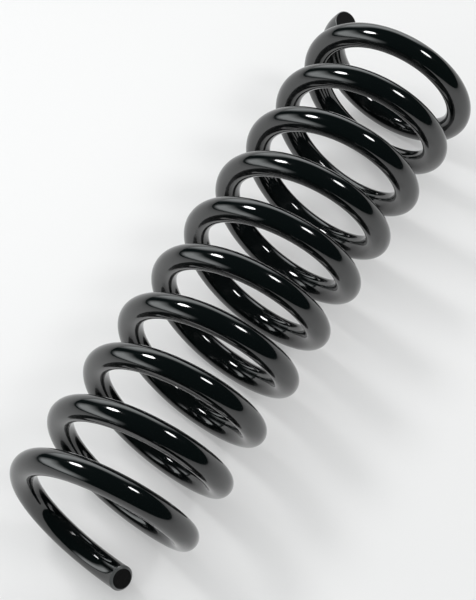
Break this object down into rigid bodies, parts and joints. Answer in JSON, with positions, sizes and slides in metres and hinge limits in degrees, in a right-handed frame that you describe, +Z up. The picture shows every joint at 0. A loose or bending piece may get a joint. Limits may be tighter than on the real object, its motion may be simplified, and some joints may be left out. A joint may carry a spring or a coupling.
{
  "type": "suspension coil spring",
  "caption": "Helical compression spring for a vehicle suspension: round black bar, open tangential lower end, closed upper end, lying on its side.",
  "frame": {"origin": "on the surface the spring lies on, under the middle of its length and of its width", "axes": "+X along the coil axis from the lower open end to the upper closed end, +Z up from the surface it lies on, +Y to the left looking along +X"},
  "size_m": [0.3456, 0.102, 0.102],
  "materials": {
    "black_powder_coat": "gloss black powder coat over spring steel"
  },
  "bodies": {
    "lower_end": {"lower_tip": "black_powder_coat", "lower_seat_coil": "black_powder_coat"},
    "active_half_coil_01": {"active_half_coil_01": "black_powder_coat"},
    "active_half_coil_02": {"active_half_coil_02": "black_powder_coat"},
    "active_half_coil_03": {"active_half_coil_03": "black_powder_coat"},
    "active_half_coil_04": {"active_half_coil_04": "black_powder_coat"},
    "active_half_coil_05": {"active_half_coil_05": "black_powder_coat"},
    "active_half_coil_06": {"active_half_coil_06": "black_powder_coat"},
    "active_half_coil_07": {"active_half_coil_07": "black_powder_coat"},
    "active_half_coil_08": {"active_half_coil_08": "black_powder_coat"},
    "active_half_coil_09": {"active_half_coil_09": "black_powder_coat"},
    "active_half_coil_10": {"active_half_coil_10": "black_powder_coat"},
    "active_half_coil_11": {"active_half_coil_11": "black_powder_coat"},
    "active_half_coil_12": {"active_half_coil_12": "black_powder_coat"},
    "active_half_coil_13": {"active_half_coil_13": "black_powder_coat"},
    "active_half_coil_14": {"active_half_coil_14": "black_powder_coat"},
    "active_half_coil_15": {"active_half_coil_15": "black_powder_coat"},
    "active_half_coil_16": {"active_half_coil_16": "black_powder_coat"},
    "upper_end": {"upper_closing_coil": "black_powder_coat", "upper_seat_coil": "black_powder_coat"}
  },
  "joints": [
    {"name": "compression", "type": "hinge", "parent": "lower_end", "child": "active_half_coil_01", "pos_m": [-0.13694, -0.044, 0.051], "axis": [-0.1199, 0, 0.9928], "range_deg": [0, 5.6], "stiffness_Nm_per_rad": 3840},
    {"name": "bar_twist_02", "type": "hinge", "parent": "active_half_coil_01", "child": "active_half_coil_02", "pos_m": [-0.12024, 0.044, 0.051], "axis": [-0.1199, 0, -0.9928], "range_deg": [0, 11.2], "stiffness_Nm_per_rad": 1920},
    {"name": "bar_twist_03", "type": "hinge", "parent": "active_half_coil_02", "child": "active_half_coil_03", "pos_m": [-0.10354, -0.044, 0.051], "axis": [-0.1199, 0, 0.9928], "range_deg": [0, 11.2], "stiffness_Nm_per_rad": 1920},
    {"name": "bar_twist_04", "type": "hinge", "parent": "active_half_coil_03", "child": "active_half_coil_04", "pos_m": [-0.08684, 0.044, 0.051], "axis": [-0.1199, 0, -0.9928], "range_deg": [0, 11.2], "stiffness_Nm_per_rad": 1920},
    {"name": "bar_twist_05", "type": "hinge", "parent": "active_half_coil_04", "child": "active_half_coil_05", "pos_m": [-0.07014, -0.044, 0.051], "axis": [-0.1199, 0, 0.9928], "range_deg": [0, 11.2], "stiffness_Nm_per_rad": 1920},
    {"name": "bar_twist_06", "type": "hinge", "parent": "active_half_coil_05", "child": "active_half_coil_06", "pos_m": [-0.05344, 0.044, 0.051], "axis": [-0.1199, 0, -0.9928], "range_deg": [0, 11.2], "stiffness_Nm_per_rad": 1920},
    {"name": "bar_twist_07", "type": "hinge", "parent": "active_half_coil_06", "child": "active_half_coil_07", "pos_m": [-0.03674, -0.044, 0.051], "axis": [-0.1199, 0, 0.9928], "range_deg": [0, 11.2], "stiffness_Nm_per_rad": 1920},
    {"name": "bar_twist_08", "type": "hinge", "parent": "active_half_coil_07", "child": "active_half_coil_08", "pos_m": [-0.02004, 0.044, 0.051], "axis": [-0.1199, 0, -0.9928], "range_deg": [0, 11.2], "stiffness_Nm_per_rad": 1920},
    {"name": "bar_twist_09", "type": "hinge", "parent": "active_half_coil_08", "child": "active_half_coil_09", "pos_m": [-0.00334, -0.044, 0.051], "axis": [-0.1199, 0, 0.9928], "range_deg": [0, 11.2], "stiffness_Nm_per_rad": 1920},
    {"name": "bar_twist_10", "type": "hinge", "parent": "active_half_coil_09", "child": "active_half_coil_10", "pos_m": [0.01336, 0.044, 0.051], "axis": [-0.1199, 0, -0.9928], "range_deg": [0, 11.2], "stiffness_Nm_per_rad": 1920},
    {"name": "bar_twist_11", "type": "hinge", "parent": "active_half_coil_10", "child": "active_half_coil_11", "pos_m": [0.03006, -0.044, 0.051], "axis": [-0.1199, 0, 0.9928], "range_deg": [0, 11.2], "stiffness_Nm_per_rad": 1920},
    {"name": "bar_twist_12", "type": "hinge", "parent": "active_half_coil_11", "child": "active_half_coil_12", "pos_m": [0.04676, 0.044, 0.051], "axis": [-0.1199, 0, -0.9928], "range_deg": [0, 11.2], "stiffness_Nm_per_rad": 1920},
    {"name": "bar_twist_13", "type": "hinge", "parent": "active_half_coil_12", "child": "active_half_coil_13", "pos_m": [0.06346, -0.044, 0.051], "axis": [-0.1199, 0, 0.9928], "range_deg": [0, 11.2], "stiffness_Nm_per_rad": 1920},
    {"name": "bar_twist_14", "type": "hinge", "parent": "active_half_coil_13", "child": "active_half_coil_14", "pos_m": [0.08016, 0.044, 0.051], "axis": [-0.1199, 0, -0.9928], "range_deg": [0, 11.2], "stiffness_Nm_per_rad": 1920},
    {"name": "bar_twist_15", "type": "hinge", "parent": "active_half_coil_14", "child": "active_half_coil_15", "pos_m": [0.09686, -0.044, 0.051], "axis": [-0.1199, 0, 0.9928], "range_deg": [0, 11.2], "stiffness_Nm_per_rad": 1920},
    {"name": "bar_twist_16", "type": "hinge", "parent": "active_half_coil_15", "child": "active_half_coil_16", "pos_m": [0.11356, 0.044, 0.051], "axis": [-0.1199, 0, -0.9928], "range_deg": [0, 11.2], "stiffness_Nm_per_rad": 1920},
    {"name": "bar_twist_17", "type": "hinge", "parent": "active_half_coil_16", "child": "upper_end", "pos_m": [0.13026, -0.044, 0.051], "axis": [-0.1199, 0, 0.9928], "range_deg": [0, 5.6], "stiffness_Nm_per_rad": 3840}
  ],
  "couplings": [
    {"joint": "bar_twist_02", "follows": "compression", "ratio": 2},
    {"joint": "bar_twist_03", "follows": "compression", "ratio": 2},
    {"joint": "bar_twist_04", "follows": "compression", "ratio": 2},
    {"joint": "bar_twist_05", "follows": "compression", "ratio": 2},
    {"joint": "bar_twist_06", "follows": "compression", "ratio": 2},
    {"joint": "bar_twist_07", "follows": "compression", "ratio": 2},
    {"joint": "bar_twist_08", "follows": "compression", "ratio": 2},
    {"joint": "bar_twist_09", "follows": "compression", "ratio": 2},
    {"joint": "bar_twist_10", "follows": "compression", "ratio": 2},
    {"joint": "bar_twist_11", "follows": "compression", "ratio": 2},
    {"joint": "bar_twist_12", "follows": "compression", "ratio": 2},
    {"joint": "bar_twist_13", "follows": "compression", "ratio": 2},
    {"joint": "bar_twist_14", "follows": "compression", "ratio": 2},
    {"joint": "bar_twist_15", "follows": "compression", "ratio": 2},
    {"joint": "bar_twist_16", "follows": "compression", "ratio": 2},
    {"joint": "bar_twist_17", "follows": "compression", "ratio": 1}
  ]
}
